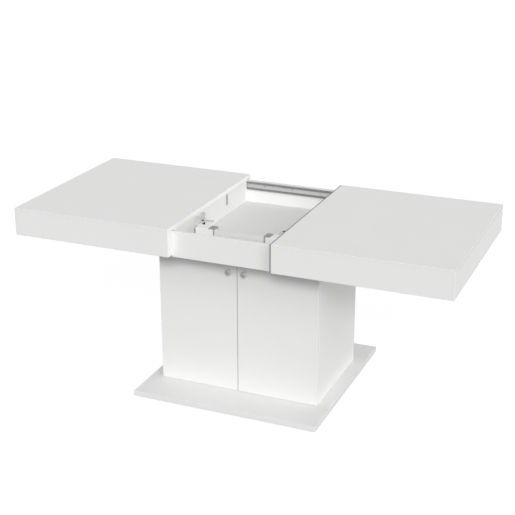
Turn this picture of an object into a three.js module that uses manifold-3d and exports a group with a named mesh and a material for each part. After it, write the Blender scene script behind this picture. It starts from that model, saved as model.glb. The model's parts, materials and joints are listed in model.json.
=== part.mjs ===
// Extendable dining table on a cabinet pedestal, drawn with its two half-tops pulled apart.
// Millimetres, +Z up. The origin is on the floor under the middle of the table.
// X runs along the table and the front, where the cabinet doors are, faces -Y.
import * as THREE from "three";
import { RoundedBoxGeometry } from "three/addons/geometries/RoundedBoxGeometry.js";
import { mergeVertices } from "three/addons/utils/BufferGeometryUtils.js";
import Module from "manifold-3d";

const wasm = await Module();
wasm.setup();

// ---------- driving dimensions ----------
const TABLE_HEIGHT = 750;
const HALF_LENGTH = 690; // one half-top, along X
const HALF_GAP = 213; // from the middle to the inner end of each half-top
const TABLE_DEPTH = 802;
const APRON_BOTTOM = 636.4;
const BOARD = 16; // thickness of every board
const SEAM = 0.3; // clearance between touching pieces
const BOARD_EDGE = 0.8; // rounding of a board's edges

const BASE_X = 790;
const BASE_Y = 784;
const BASE_BOARD = 22;
const GLIDE_HEIGHT = 2.2;
const GLIDE_RADIUS = 14;
const GLIDE_INSET = 45;

const CABINET_X = 686;
const CABINET_Y = 461;
const DOOR_GAP = 2.5; // between the two doors
const DOOR_CLEARANCE = 2.5; // above and below a door
const DOOR_STANDOFF = 2; // between a closed door and the carcass
const SHELF_HEIGHT = 315;
const SHELF_SETBACK = 20;

const BOX_BOTTOM = 626; // underside of the open box, and top of the cabinet
const BOX_END = 500; // half the box's length
const WALL_TOP = 731;
const FRONT_WALL_Y = -361; // outer face
const BACK_WALL_Y = 383; // outer face
const FLOOR_BOARD = 10;
const BOX_END_TOP = 686;
const CROSS_RAIL_PLAY = 0.6; // between a cross rail and the top panel that slides over it
const CROSS_RAIL_LIFT = 2.4; // between the box floor and a cross rail

const CHANNEL_HEIGHT = 35;
const CHANNEL_DEPTH = 12.7;
const CHANNEL_WALL = 1.5;
const CHANNEL_LIP = 9;
const CHANNEL_TOP_FRONT = 725; // stays below the front wall's top
const CHANNEL_TOP_BACK = 730.5;
const RUNNER_LENGTH = 480;
const RUNNER_PLATE = 2.5;
const RUNNER_FOOT = 28; // width of the flange under the top panel
const RUNNER_PLAY = 0.7; // all round inside the channel
const RETURN_PLAY = 0.6; // between a front return and the front wall that it slides past

const INNER_RAIL_Y = -276; // front face
const INNER_RAIL_TOP = 727.3;
const INNER_RAIL_GROOVE = 708;
const GROOVE_SIZE = 1.6;

const BRACKET_X = { left: -77.6, right: 135 }; // middle of each bracket's web
const STRAP_X = { left: -159, right: 209 }; // middle of each strap
const BLOCK_DEPTH = 46;
const BLOCK_TOP = INNER_RAIL_TOP;
const WEB_THICKNESS = 6;
const FLANGE_WIDTH = 26;
const FLANGE_THICKNESS = 2;
const BRACKET_DEPTH = 40;
const STRAP_THICKNESS = 6.5;
const STRAP_DEPTH = 30;
const STRAP_TOP = 724;
const PIVOT_X = { left: -159, right: 185 };
const PIVOT_Y = -198;
const CATCH_BOTTOM = 727.8;
const CATCH_THICKNESS = 3;

const KNOB_X = 33;
const KNOB_Z = 547;
const HINGE_HEIGHTS = { lower: 120, upper: 530 };
const SEAL_THICKNESS = 6.5;

// ---------- values worked out from them ----------
const PANEL_BOTTOM = TABLE_HEIGHT - BOARD;
const BASE_TOP = GLIDE_HEIGHT + SEAM + BASE_BOARD;
const CABINET_BOTTOM = BASE_TOP + SEAM;
const CABINET_TOP = BOX_BOTTOM - SEAM;
const SIDE_INNER_X = CABINET_X / 2 - BOARD;
const DOOR_BACK_Y = -CABINET_Y / 2 + BOARD;
const CARCASS_FRONT_Y = DOOR_BACK_Y + DOOR_STANDOFF;
const FLOOR_BOTTOM = BOX_BOTTOM + SEAM;
const FLOOR_TOP = FLOOR_BOTTOM + FLOOR_BOARD;
const CROSS_RAIL_BOTTOM = FLOOR_TOP + CROSS_RAIL_LIFT;
const CROSS_RAIL_TOP = PANEL_BOTTOM - CROSS_RAIL_PLAY;
const FRONT_WALL_INNER_Y = FRONT_WALL_Y + BOARD;
const BACK_WALL_INNER_Y = BACK_WALL_Y - BOARD;

// ---------- materials ----------
const finish = (color, roughness, metalness) =>
  new THREE.MeshStandardMaterial({ color, roughness, metalness });
const whiteBoard = () => finish(0xf2f2f1, 0.45, 0);
const whitePlastic = () => finish(0xf4f4f2, 0.4, 0);
const darkPlastic = () => finish(0x2b2b2c, 0.5, 0);
const greySeal = () => finish(0x9a9a9a, 0.7, 0);
const steel = () => finish(0xa9abad, 0.35, 1);
const chrome = () => finish(0xc9cbcd, 0.15, 1);

// ---------- shared shapes ----------
const X = new THREE.Vector3(1, 0, 0);
const Y = new THREE.Vector3(0, 1, 0);
const Z = new THREE.Vector3(0, 0, 1);

function mesh(name, geometry, material) {
  const made = new THREE.Mesh(geometry, material);
  made.name = name;
  return made;
}

// A board between two opposite corners, given in either order.
function board(name, xs, ys, zs, material = whiteBoard(), radius = BOARD_EDGE) {
  const low = new THREE.Vector3(Math.min(...xs), Math.min(...ys), Math.min(...zs));
  const high = new THREE.Vector3(Math.max(...xs), Math.max(...ys), Math.max(...zs));
  const size = high.clone().sub(low);
  const made = mesh(name, new RoundedBoxGeometry(size.x, size.y, size.z, 1, radius), material);
  made.position.copy(low.add(high).multiplyScalar(0.5));
  return made;
}

// A flat outline of [a, b] points, in either winding, extruded by depth.
function prism(points, depth) {
  const outline = new THREE.Shape(points.map(([a, b]) => new THREE.Vector2(a, b)));
  return new THREE.ExtrudeGeometry(outline, { depth, bevelEnabled: false, curveSegments: 8 });
}

// An outline of [y, z] points, run along X from x0 to x1.
function alongX(points, x0, x1) {
  const turned = new THREE.Matrix4().makeBasis(Y, Z, X);
  return prism(points, Math.abs(x1 - x0)).applyMatrix4(turned).translate(Math.min(x0, x1), 0, 0);
}

// An outline of [z, x] points, run along Y from y0 to y1.
function alongY(points, y0, y1) {
  const turned = new THREE.Matrix4().makeBasis(Z, X, Y);
  return prism(points, y1 - y0).applyMatrix4(turned).translate(0, y0, 0);
}

// A round piece about Z from [radius, z] points that start and end on the axis.
function turned(points, segments = 32) {
  return new THREE.LatheGeometry(
    points.map(([r, z]) => new THREE.Vector2(r, z)),
    segments,
  ).rotateX(Math.PI / 2);
}

function solid(geometry) {
  const bare = geometry.clone();
  bare.deleteAttribute("normal");
  bare.deleteAttribute("uv");
  const merged = mergeVertices(bare, 1e-3);
  return new wasm.Manifold(
    new wasm.Mesh({
      numProp: 3,
      vertProperties: new Float32Array(merged.attributes.position.array),
      triVerts: new Uint32Array(merged.index.array),
    }),
  );
}

function geometryOf(manifold) {
  const cut = manifold.getMesh();
  const geometry = new THREE.BufferGeometry();
  geometry.setAttribute("position", new THREE.BufferAttribute(cut.vertProperties, 3));
  geometry.setIndex(new THREE.BufferAttribute(cut.triVerts, 1));
  geometry.computeVertexNormals();
  return geometry;
}

const sides = [
  { name: "left", sign: -1 },
  { name: "right", sign: 1 },
];

// ---------- base plate on four glides ----------
function base() {
  const group = new THREE.Group();
  const plateBottom = GLIDE_HEIGHT + SEAM;
  group.add(
    board("base_plate", [-BASE_X / 2, BASE_X / 2], [-BASE_Y / 2, BASE_Y / 2], [plateBottom, BASE_TOP]),
  );
  const profile = [
    [0, 0],
    [GLIDE_RADIUS - 1, 0],
    [GLIDE_RADIUS, 1],
    [GLIDE_RADIUS, GLIDE_HEIGHT],
    [0, GLIDE_HEIGHT],
  ];
  for (const { name, sign } of sides) {
    for (const [place, depth] of [["front", -1], ["back", 1]]) {
      const glide = mesh(`${place}_${name}_glide`, turned(profile, 24), darkPlastic());
      glide.position.set(sign * (BASE_X / 2 - GLIDE_INSET), depth * (BASE_Y / 2 - GLIDE_INSET), 0);
      group.add(glide);
    }
  }
  return group;
}

// ---------- cabinet ----------
function carcass() {
  const group = new THREE.Group();
  const halfX = CABINET_X / 2;
  const backY = CABINET_Y / 2;
  const sideTop = CABINET_TOP - BOARD - SEAM;
  const innerX = SIDE_INNER_X - SEAM;
  const innerBackY = backY - BOARD - SEAM;
  for (const { name, sign } of sides) {
    group.add(
      board(`cabinet_${name}_side`, [sign * SIDE_INNER_X, sign * halfX], [CARCASS_FRONT_Y, innerBackY],
        [CABINET_BOTTOM, sideTop]),
    );
  }
  group.add(
    board("cabinet_back", [-halfX, halfX], [backY - BOARD, backY], [CABINET_BOTTOM, sideTop]),
    board("cabinet_top", [-halfX, halfX], [CARCASS_FRONT_Y, backY], [CABINET_TOP - BOARD, CABINET_TOP]),
    board("cabinet_bottom", [-innerX, innerX], [CARCASS_FRONT_Y, innerBackY],
      [CABINET_BOTTOM, CABINET_BOTTOM + BOARD]),
    board("cabinet_shelf", [-innerX, innerX], [CARCASS_FRONT_Y + SHELF_SETBACK, innerBackY],
      [SHELF_HEIGHT, SHELF_HEIGHT + BOARD]),
  );
  return group;
}

const CUP_RADIUS = 17.5;
const CUP_DEPTH = 11.5;
const CUP_WALL = 1.2;
const CUP_EDGE_DISTANCE = 23; // cup centre to the door's outer edge

// A door with a blind bore for each hinge cup.
function door(name, sign) {
  const outer = sign * (CABINET_X / 2);
  const inner = sign * (DOOR_GAP / 2);
  const bottom = BASE_TOP + DOOR_CLEARANCE;
  const top = BOX_BOTTOM - DOOR_CLEARANCE;
  const blank = board(`${name}_door`, [inner, outer], [-CABINET_Y / 2, DOOR_BACK_Y], [bottom, top]);
  blank.updateMatrix();
  let cut = solid(blank.geometry.applyMatrix4(blank.matrix));
  for (const height of Object.values(HINGE_HEIGHTS)) {
    const bore = new THREE.CylinderGeometry(CUP_RADIUS + SEAM, CUP_RADIUS + SEAM, 2 * CUP_DEPTH + 1, 32);
    bore.translate(outer - sign * CUP_EDGE_DISTANCE, DOOR_BACK_Y, height);
    cut = cut.subtract(solid(bore));
  }
  return mesh(`${name}_door`, geometryOf(cut), whiteBoard());
}

// A round knob whose stem stands on the door's front face.
function knob(name, sign) {
  const profile = [
    [0, 0],
    [8, 0],
    [8, 2],
    [5, 4],
    [5, 11],
    [10, 14],
    [12, 17],
    [12, 20],
    [10.5, 22],
    [0, 22.6],
  ];
  const made = mesh(`${name}_knob`, turned(profile, 32), chrome());
  made.rotation.x = Math.PI / 2;
  made.position.set(sign * KNOB_X, -CABINET_Y / 2 - SEAM, KNOB_Z);
  return made;
}

// The cup sits in the door's bore, its rim on the door's back face.
function hingeCup(name, sign, place, height) {
  const rim = CUP_RADIUS + 2.5;
  const hollow = CUP_RADIUS - CUP_WALL;
  const profile = [
    [0, -CUP_DEPTH],
    [CUP_RADIUS, -CUP_DEPTH],
    [CUP_RADIUS, SEAM],
    [rim, SEAM],
    [rim, SEAM + CUP_WALL],
    [hollow, SEAM + CUP_WALL],
    [hollow, CUP_WALL - CUP_DEPTH],
    [0, CUP_WALL - CUP_DEPTH],
  ];
  const made = mesh(`${name}_${place}_hinge_cup`, turned(profile, 32), steel());
  made.rotation.x = -Math.PI / 2;
  made.position.set(sign * (CABINET_X / 2 - CUP_EDGE_DISTANCE), DOOR_BACK_Y, height);
  return made;
}

// The hinge's arm and its mounting plate, fixed to the cabinet's side.
function hingeArm(name, sign, place, height) {
  const width = 14;
  const outline = [
    [SEAM, 26],
    [SEAM, 74],
    [9, 74],
    [13, 68],
    [13, 30],
    [20, 14],
    [20, 4],
    [13, 4],
    [9, 26],
  ];
  const points = outline.map(([inward, back]) => [sign * (SIDE_INNER_X - inward), DOOR_BACK_Y + back]);
  const made = mesh(`${name}_${place}_hinge_arm`, prism(points, width), steel());
  made.position.z = height - width / 2;
  return made;
}

function cabinet() {
  const group = carcass();
  for (const { name, sign } of sides) {
    group.add(door(name, sign), knob(name, sign));
    for (const [place, height] of Object.entries(HINGE_HEIGHTS)) {
      group.add(hingeCup(name, sign, place, height), hingeArm(name, sign, place, height));
    }
  }
  return group;
}

// ---------- open box that holds the leaf ----------
function boxWalls() {
  const group = new THREE.Group();
  const endX = BOX_END - BOARD;
  const innerFrontY = FRONT_WALL_INNER_Y + SEAM;
  const innerBackY = BACK_WALL_INNER_Y - SEAM;
  group.add(
    board("front_wall", [-BOX_END, BOX_END], [FRONT_WALL_Y, FRONT_WALL_INNER_Y], [BOX_BOTTOM, WALL_TOP]),
    board("back_wall", [-BOX_END, BOX_END], [BACK_WALL_INNER_Y, BACK_WALL_Y], [BOX_BOTTOM, WALL_TOP]),
    board("box_floor", [SEAM - endX, endX - SEAM], [innerFrontY, innerBackY], [FLOOR_BOTTOM, FLOOR_TOP]),
  );
  for (const { name, sign } of sides) {
    group.add(
      board(`${name}_box_end`, [sign * endX, sign * BOX_END], [innerFrontY, innerBackY],
        [BOX_BOTTOM, BOX_END_TOP]),
    );
  }
  return group;
}

// Cross rails close the middle of the box. The right one is notched where its catch swings over it.
function crossRail(name, sign) {
  const frontY = FRONT_WALL_INNER_Y + SEAM + CHANNEL_DEPTH + RUNNER_PLATE + 3;
  const backY = BACK_WALL_INNER_Y - SEAM - CHANNEL_DEPTH - RUNNER_PLATE - 3;
  const notchTop = CATCH_BOTTOM - 1.8;
  const notch = [
    [PIVOT_Y + 130, CROSS_RAIL_TOP],
    [PIVOT_Y + 130, notchTop],
    [PIVOT_Y - 60, notchTop],
    [PIVOT_Y - 60, CROSS_RAIL_TOP],
  ];
  const outline = [
    [frontY, CROSS_RAIL_BOTTOM],
    [backY, CROSS_RAIL_BOTTOM],
    [backY, CROSS_RAIL_TOP],
    ...(sign > 0 ? notch : []),
    [frontY, CROSS_RAIL_TOP],
  ];
  return mesh(
    `${name}_cross_rail`,
    alongX(outline, sign * HALF_GAP, sign * (HALF_GAP + BOARD)),
    whiteBoard(),
  );
}

const STRIKE_THICKNESS = 2;
const STRIKE_Y = [138, 156];
const STRIKE_Z = [684, 730];

function strikePlate(name, sign) {
  const face = HALF_GAP - SEAM;
  const span = [sign * (face - STRIKE_THICKNESS), sign * face];
  return board(`${name}_strike_plate`, span, STRIKE_Y, STRIKE_Z, steel(), 0.3);
}

// The board across the box near its front, with a groove along its face.
function innerRail() {
  const back = INNER_RAIL_Y + BOARD;
  const outline = [
    [INNER_RAIL_Y, FLOOR_TOP + SEAM],
    [back, FLOOR_TOP + SEAM],
    [back, INNER_RAIL_TOP],
    [INNER_RAIL_Y, INNER_RAIL_TOP],
    [INNER_RAIL_Y, INNER_RAIL_GROOVE],
    [INNER_RAIL_Y + GROOVE_SIZE, INNER_RAIL_GROOVE],
    [INNER_RAIL_Y + GROOVE_SIZE, INNER_RAIL_GROOVE - GROOVE_SIZE],
    [INNER_RAIL_Y, INNER_RAIL_GROOVE - GROOVE_SIZE],
  ];
  const clear = WEB_THICKNESS / 2 + SEAM;
  return mesh("inner_rail", alongX(outline, BRACKET_X.left + clear, BRACKET_X.right - clear), whiteBoard());
}

// ---------- slides ----------
// y = 0 is the wall's inner face, and positive y is into the box; direction turns that to the row's Y.
function channelOutline(top) {
  const bottom = top - CHANNEL_HEIGHT;
  const web = SEAM + CHANNEL_WALL;
  const mouth = SEAM + CHANNEL_DEPTH;
  return [
    [SEAM, bottom],
    [mouth, bottom],
    [mouth, bottom + CHANNEL_LIP],
    [mouth - CHANNEL_WALL, bottom + CHANNEL_LIP],
    [mouth - CHANNEL_WALL, bottom + CHANNEL_WALL],
    [web, bottom + CHANNEL_WALL],
    [web, top - CHANNEL_WALL],
    [mouth - CHANNEL_WALL, top - CHANNEL_WALL],
    [mouth - CHANNEL_WALL, top - CHANNEL_LIP],
    [mouth, top - CHANNEL_LIP],
    [mouth, top],
    [SEAM, top],
  ];
}

// The runner: a bar inside the channel, a neck through its mouth, a plate and a foot under the top panel.
function runnerOutline(top) {
  const bottom = top - CHANNEL_HEIGHT;
  const footTop = PANEL_BOTTOM - SEAM;
  const footBottom = WALL_TOP + 0.5;
  const barBack = SEAM + CHANNEL_WALL + RUNNER_PLAY;
  const barFront = SEAM + CHANNEL_DEPTH - CHANNEL_WALL - RUNNER_PLAY;
  const barLow = bottom + CHANNEL_WALL + RUNNER_PLAY;
  const barHigh = top - CHANNEL_WALL - RUNNER_PLAY;
  const neckLow = bottom + CHANNEL_LIP + RUNNER_PLAY;
  const neckHigh = top - CHANNEL_LIP - RUNNER_PLAY;
  const plateBack = SEAM + CHANNEL_DEPTH + RUNNER_PLAY;
  const plateFront = plateBack + RUNNER_PLATE;
  return [
    [barBack, barLow],
    [barFront, barLow],
    [barFront, neckLow],
    [plateFront, neckLow],
    [plateFront, footTop],
    [plateFront - RUNNER_FOOT, footTop],
    [plateFront - RUNNER_FOOT, footBottom],
    [plateBack, footBottom],
    [plateBack, neckHigh],
    [barFront, neckHigh],
    [barFront, barHigh],
    [barBack, barHigh],
  ];
}

const slides = [
  { place: "front", wallY: FRONT_WALL_INNER_Y, direction: 1, top: CHANNEL_TOP_FRONT },
  { place: "back", wallY: BACK_WALL_INNER_Y, direction: -1, top: CHANNEL_TOP_BACK },
];

function placed(outline, { wallY, direction }) {
  return outline.map(([y, z]) => [wallY + direction * y, z]);
}

function channels() {
  return slides.map((slide) =>
    mesh(
      `${slide.place}_slide_channel`,
      alongX(placed(channelOutline(slide.top), slide), -BOX_END, BOX_END),
      steel(),
    ),
  );
}

// ---------- hardware beside the inner rail ----------
// The block, the flanged bracket on its inner side and the strap on its outer side.
function blockSet(name, sign) {
  const webInner = BRACKET_X[name] - (sign * WEB_THICKNESS) / 2;
  const webOuter = webInner + sign * WEB_THICKNESS;
  const strapInner = STRAP_X[name] - (sign * STRAP_THICKNESS) / 2;
  const flangeOuter = webInner + sign * FLANGE_WIDTH;
  const bottom = FLOOR_TOP + SEAM;
  const flangeBottom = BLOCK_TOP + SEAM;
  const flangeTop = flangeBottom + FLANGE_THICKNESS;
  const bracket = [
    [bottom, webInner],
    [flangeTop, webInner],
    [flangeTop, flangeOuter],
    [flangeBottom, flangeOuter],
    [flangeBottom, webOuter],
    [bottom, webOuter],
  ];
  return [
    board(`${name}_block`, [webOuter + sign * SEAM, strapInner - sign * SEAM],
      [INNER_RAIL_Y, INNER_RAIL_Y + BLOCK_DEPTH], [bottom, BLOCK_TOP], whitePlastic(), 1.2),
    mesh(`${name}_tee_bracket`, alongY(bracket, INNER_RAIL_Y, INNER_RAIL_Y + BRACKET_DEPTH), steel()),
    board(`${name}_strap`, [strapInner, strapInner + sign * STRAP_THICKNESS],
      [INNER_RAIL_Y, INNER_RAIL_Y + STRAP_DEPTH], [bottom, STRAP_TOP], steel(), 0.4),
  ];
}

const PIVOT_RADIUS = 3.5;
const BOSS_RADIUS = 8;
const HUB_RADIUS = 9;

// The dark post that the catch turns on: boss, spigot through the catch, and a low head.
function pivotPost(name) {
  const catchTop = CATCH_BOTTOM + CATCH_THICKNESS;
  const bossTop = CATCH_BOTTOM - SEAM;
  const profile = [
    [0, FLOOR_TOP + SEAM],
    [BOSS_RADIUS, FLOOR_TOP + SEAM],
    [BOSS_RADIUS, bossTop],
    [PIVOT_RADIUS, bossTop],
    [PIVOT_RADIUS, catchTop + SEAM],
    [6, catchTop + SEAM],
    [5, catchTop + 1.6],
    [0, catchTop + 1.6],
  ];
  const post = mesh(`${name}_catch_post`, turned(profile, 24), darkPlastic());
  post.position.set(PIVOT_X[name], PIVOT_Y, 0);
  return post;
}

// A flat arm with round ends from the pivot out to [outward, back].
function catchArm(outward, back, width) {
  const length = Math.hypot(outward, back);
  const arm = new THREE.Shape();
  arm.absarc(0, 0, width / 2, Math.PI / 2, (3 * Math.PI) / 2, false);
  arm.absarc(length, 0, width / 2, -Math.PI / 2, Math.PI / 2, false);
  const depth = CATCH_THICKNESS;
  const geometry = new THREE.ExtrudeGeometry(arm, { depth, bevelEnabled: false, curveSegments: 10 });
  return geometry.rotateZ(Math.atan2(back, outward));
}

// The cross-shaped catch: a hub and four arms, bored for the post's spigot.
function swingCatch(name, sign) {
  const shortArm = { left: { outward: -34, back: 6 }, right: { outward: 38, back: -16 } };
  const arms = [
    { outward: 42, back: 92, width: 16 },
    { outward: 40, back: 34, width: 17 },
    { ...shortArm[name], width: 20 },
    { outward: -2, back: -29, width: 18 },
  ];
  const hub = new THREE.CylinderGeometry(HUB_RADIUS, HUB_RADIUS, CATCH_THICKNESS, 32);
  hub.rotateX(Math.PI / 2).translate(0, 0, CATCH_THICKNESS / 2);
  const hole = new THREE.CylinderGeometry(PIVOT_RADIUS + SEAM, PIVOT_RADIUS + SEAM, 3 * CATCH_THICKNESS, 24);
  hole.rotateX(Math.PI / 2);
  const cross = arms.reduce(
    (body, { outward, back, width }) => body.add(solid(catchArm(sign * outward, back, width))),
    solid(hub),
  );
  const made = mesh(`${name}_catch`, geometryOf(cross.subtract(solid(hole))), steel());
  made.position.set(PIVOT_X[name], PIVOT_Y, CATCH_BOTTOM);
  return made;
}

function box() {
  const group = boxWalls();
  group.add(innerRail(), ...channels());
  for (const { name, sign } of sides) {
    group.add(crossRail(name, sign), strikePlate(name, sign), ...blockSet(name, sign));
    group.add(pivotPost(name), swingCatch(name, sign));
  }
  return group;
}

// ---------- half-tops ----------
function halfTop(name, sign) {
  const group = new THREE.Group();
  const at = (x) => sign * x;
  const outer = HALF_GAP + HALF_LENGTH;
  const frontY = -TABLE_DEPTH / 2;
  const backY = TABLE_DEPTH / 2;
  const heights = [APRON_BOTTOM, PANEL_BOTTOM - SEAM];
  const longRun = [at(HALF_GAP), at(outer - BOARD - SEAM)];
  const returnY = FRONT_WALL_Y - RETURN_PLAY;
  group.add(
    board(`${name}_top_panel`, [at(HALF_GAP), at(outer)], [frontY, backY], [PANEL_BOTTOM, TABLE_HEIGHT]),
    board(`${name}_front_apron`, longRun, [frontY, frontY + BOARD], heights),
    board(`${name}_back_apron`, longRun, [backY - BOARD, backY], heights),
    board(`${name}_end_apron`, [at(outer - BOARD), at(outer)], [frontY, backY], heights),
    board(`${name}_front_return`, [at(HALF_GAP), at(HALF_GAP + BOARD)],
      [frontY + BOARD + SEAM, returnY], heights),
  );
  for (const slide of slides) {
    const outline = placed(runnerOutline(slide.top), slide);
    const run = alongX(outline, at(HALF_GAP), at(HALF_GAP + RUNNER_LENGTH));
    group.add(mesh(`${name}_${slide.place}_runner`, run, steel()));
  }
  return group;
}

// A strip along the inner edge of the right half-top: across the panel's edge and down the front.
function edgeSeal() {
  const frontY = -TABLE_DEPTH / 2 + 1;
  const backY = TABLE_DEPTH / 2 - 1;
  const top = TABLE_HEIGHT - 1;
  const bottom = APRON_BOTTOM + 1;
  const outline = [
    [frontY, bottom],
    [FRONT_WALL_Y - 3, bottom],
    [FRONT_WALL_Y - 3, PANEL_BOTTOM + 1],
    [backY, PANEL_BOTTOM + 1],
    [backY, top],
    [frontY, top],
  ];
  const face = HALF_GAP - SEAM;
  return mesh("right_edge_seal", alongX(outline, face - SEAL_THICKNESS, face), greySeal());
}

// ---------- the table ----------
const group = new THREE.Group();
group.add(base(), cabinet(), box(), halfTop("left", -1), halfTop("right", 1), edgeSeal());

export default group;
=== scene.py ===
"""Extendable dining table: boards, steelwork, fastenings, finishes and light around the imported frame."""
import json
import logging
import math
from collections.abc import Callable, Iterator, Sequence
from contextlib import contextmanager
from dataclasses import dataclass, field
from enum import Enum

import bpy
from mathutils import Matrix, Vector


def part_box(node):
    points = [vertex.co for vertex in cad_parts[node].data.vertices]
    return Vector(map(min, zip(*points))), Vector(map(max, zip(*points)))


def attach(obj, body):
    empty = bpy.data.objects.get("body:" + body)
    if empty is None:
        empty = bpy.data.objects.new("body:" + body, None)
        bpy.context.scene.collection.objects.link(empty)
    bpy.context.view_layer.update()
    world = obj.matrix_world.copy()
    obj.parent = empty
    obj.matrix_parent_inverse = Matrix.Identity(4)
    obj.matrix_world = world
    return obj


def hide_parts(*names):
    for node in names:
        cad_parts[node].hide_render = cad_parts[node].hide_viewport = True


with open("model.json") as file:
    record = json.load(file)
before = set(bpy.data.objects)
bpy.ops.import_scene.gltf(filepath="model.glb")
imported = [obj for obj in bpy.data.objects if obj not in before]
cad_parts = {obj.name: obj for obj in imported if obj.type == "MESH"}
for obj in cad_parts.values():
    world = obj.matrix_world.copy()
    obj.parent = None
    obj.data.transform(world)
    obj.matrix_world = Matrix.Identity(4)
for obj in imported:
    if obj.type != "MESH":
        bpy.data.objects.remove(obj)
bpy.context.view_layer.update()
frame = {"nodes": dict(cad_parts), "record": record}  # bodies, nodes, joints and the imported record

MM = 0.001
LOG = logging.getLogger("table")
TOUCH = 0.01 * MM  # places nearer to each other than this are one place
SKEW = 0.001  # how far a part of a unit normal may be out, and the face is still square
Corner = tuple[float, float, float]
Range = tuple[float, float]
Sockets = dict[str | int, object]
DUST: Corner = (0.5, 0.49, 0.47)


class Side(Enum):
    """The two halves of the table, with the sign of their X."""

    LEFT = -1
    RIGHT = 1

    @property
    def label(self) -> str:
        """The word that starts the names of this side's nodes."""
        return self.name.lower()


class Run(Enum):
    """The way that drawn metal's lines run, as a stretch of their pattern along X, Y and Z."""

    ALONG_X = (0.02, 1.0, 1.0)
    ALONG_Y = (1.0, 0.02, 1.0)
    ALONG_Z = (1.0, 1.0, 0.02)


# ---------- what the frame says ----------
def body_of(node: str) -> str:
    """Finds the body that carries a CAD node.

    Args:
        node: The CAD node's name.

    Returns:
        The name of the body that lists it.
    """
    bodies = frame["record"]["behaviour"]["bodies"]
    return next(body for body, nodes in bodies.items() if node in nodes)


def slot_of(node: str) -> str:
    """Finds the record's material slot of a CAD node.

    Args:
        node: The CAD node's name.

    Returns:
        The slot's name.
    """
    return next(part["material_slot"] for part in frame["record"]["subparts"] if part["node"] == node)


def extent(node: str) -> tuple[Vector, Vector]:
    """Gives a CAD node's lowest and highest corners at rest.

    Args:
        node: The CAD node's name.

    Returns:
        The two corners, in metres.
    """
    low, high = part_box(node)
    return Vector(low), Vector(high)


def inner_x(node: str, side: Side) -> float:
    """Gives the X of a CAD node's end that is nearer the table's middle.

    Args:
        node: The CAD node's name.
        side: The side of the table that the node is on.

    Returns:
        The end's X, in metres.
    """
    low, high = extent(node)
    return low.x if side is Side.RIGHT else high.x


def part_way(start: float, end: float, share: float) -> float:
    """Gives the value that lies a share of the way from one value to another."""
    return start + share * (end - start)


# ---------- mesh work ----------
def clear_selection() -> None:
    """Leaves edit mode and deselects every object."""
    if bpy.context.object and bpy.context.object.mode != "OBJECT":
        bpy.ops.object.mode_set(mode="OBJECT")
    bpy.ops.object.select_all(action="DESELECT")


def select_only(piece: bpy.types.Object) -> None:
    """Makes a piece the only selected object, and the active one.

    Args:
        piece: The object.
    """
    clear_selection()
    piece.select_set(True)
    bpy.context.view_layer.objects.active = piece


@contextmanager
def editing(piece: bpy.types.Object, select: str = "FACE") -> Iterator[None]:
    """Holds a piece in edit mode.

    Args:
        piece: The mesh object.
        select: The selection mode: VERT, EDGE or FACE.

    Yields:
        Nothing.
    """
    select_only(piece)
    bpy.ops.object.mode_set(mode="EDIT")
    bpy.ops.mesh.select_mode(type=select)
    yield
    bpy.ops.object.mode_set(mode="OBJECT")


def pick_faces(piece: bpy.types.Object, wanted: Callable[[bpy.types.MeshPolygon], bool]) -> None:
    """Selects the faces that pass a test, and nothing else.

    Args:
        piece: The mesh object, in object mode.
        wanted: The test.
    """
    mesh = piece.data
    mesh.vertices.foreach_set("select", [False] * len(mesh.vertices))
    mesh.edges.foreach_set("select", [False] * len(mesh.edges))
    for face in mesh.polygons:
        face.select = wanted(face)


def pick_edges(piece: bpy.types.Object, wanted: Callable[[Vector, Vector], bool]) -> None:
    """Selects the edges whose two ends pass a test, and nothing else.

    Args:
        piece: The mesh object, in object mode.
        wanted: The test, of the edge's two ends.
    """
    mesh = piece.data
    mesh.vertices.foreach_set("select", [False] * len(mesh.vertices))
    mesh.polygons.foreach_set("select", [False] * len(mesh.polygons))
    for edge in mesh.edges:
        start, end = (mesh.vertices[index].co for index in edge.vertices)
        edge.select = wanted(start, end)


def settle(piece: bpy.types.Object) -> None:
    """Moves a piece's place, turn and scale into its mesh.

    Args:
        piece: The object.
    """
    select_only(piece)
    bpy.ops.object.transform_apply(location=True, rotation=True, scale=True)


def smooth(piece: bpy.types.Object, degrees: float = 32.0) -> None:
    """Shades a piece smooth, except across its sharp edges, and keeps its broad faces flat.

    Args:
        piece: The mesh object.
        degrees: The angle past which an edge stays sharp.
    """
    select_only(piece)
    bpy.ops.object.shade_smooth_by_angle(angle=math.radians(degrees))
    flat = piece.modifiers.new("flat_broad_faces", "WEIGHTED_NORMAL")
    flat.weight = 100
    flat.keep_sharp = True
    bpy.ops.object.modifier_apply(modifier=flat.name)


def block(name: str, low: Sequence[float], high: Sequence[float]) -> bpy.types.Object:
    """Adds a block between two corners.

    Args:
        name: The piece's name.
        low: The lowest corner, in metres.
        high: The highest corner, in metres.

    Returns:
        The block, with its place in its mesh.
    """
    clear_selection()
    lowest, highest = Vector(low), Vector(high)
    bpy.ops.mesh.primitive_cube_add(size=1.0, location=(lowest + highest) / 2, scale=highest - lowest)
    piece = bpy.context.object
    piece.name = name
    settle(piece)
    return piece


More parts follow.
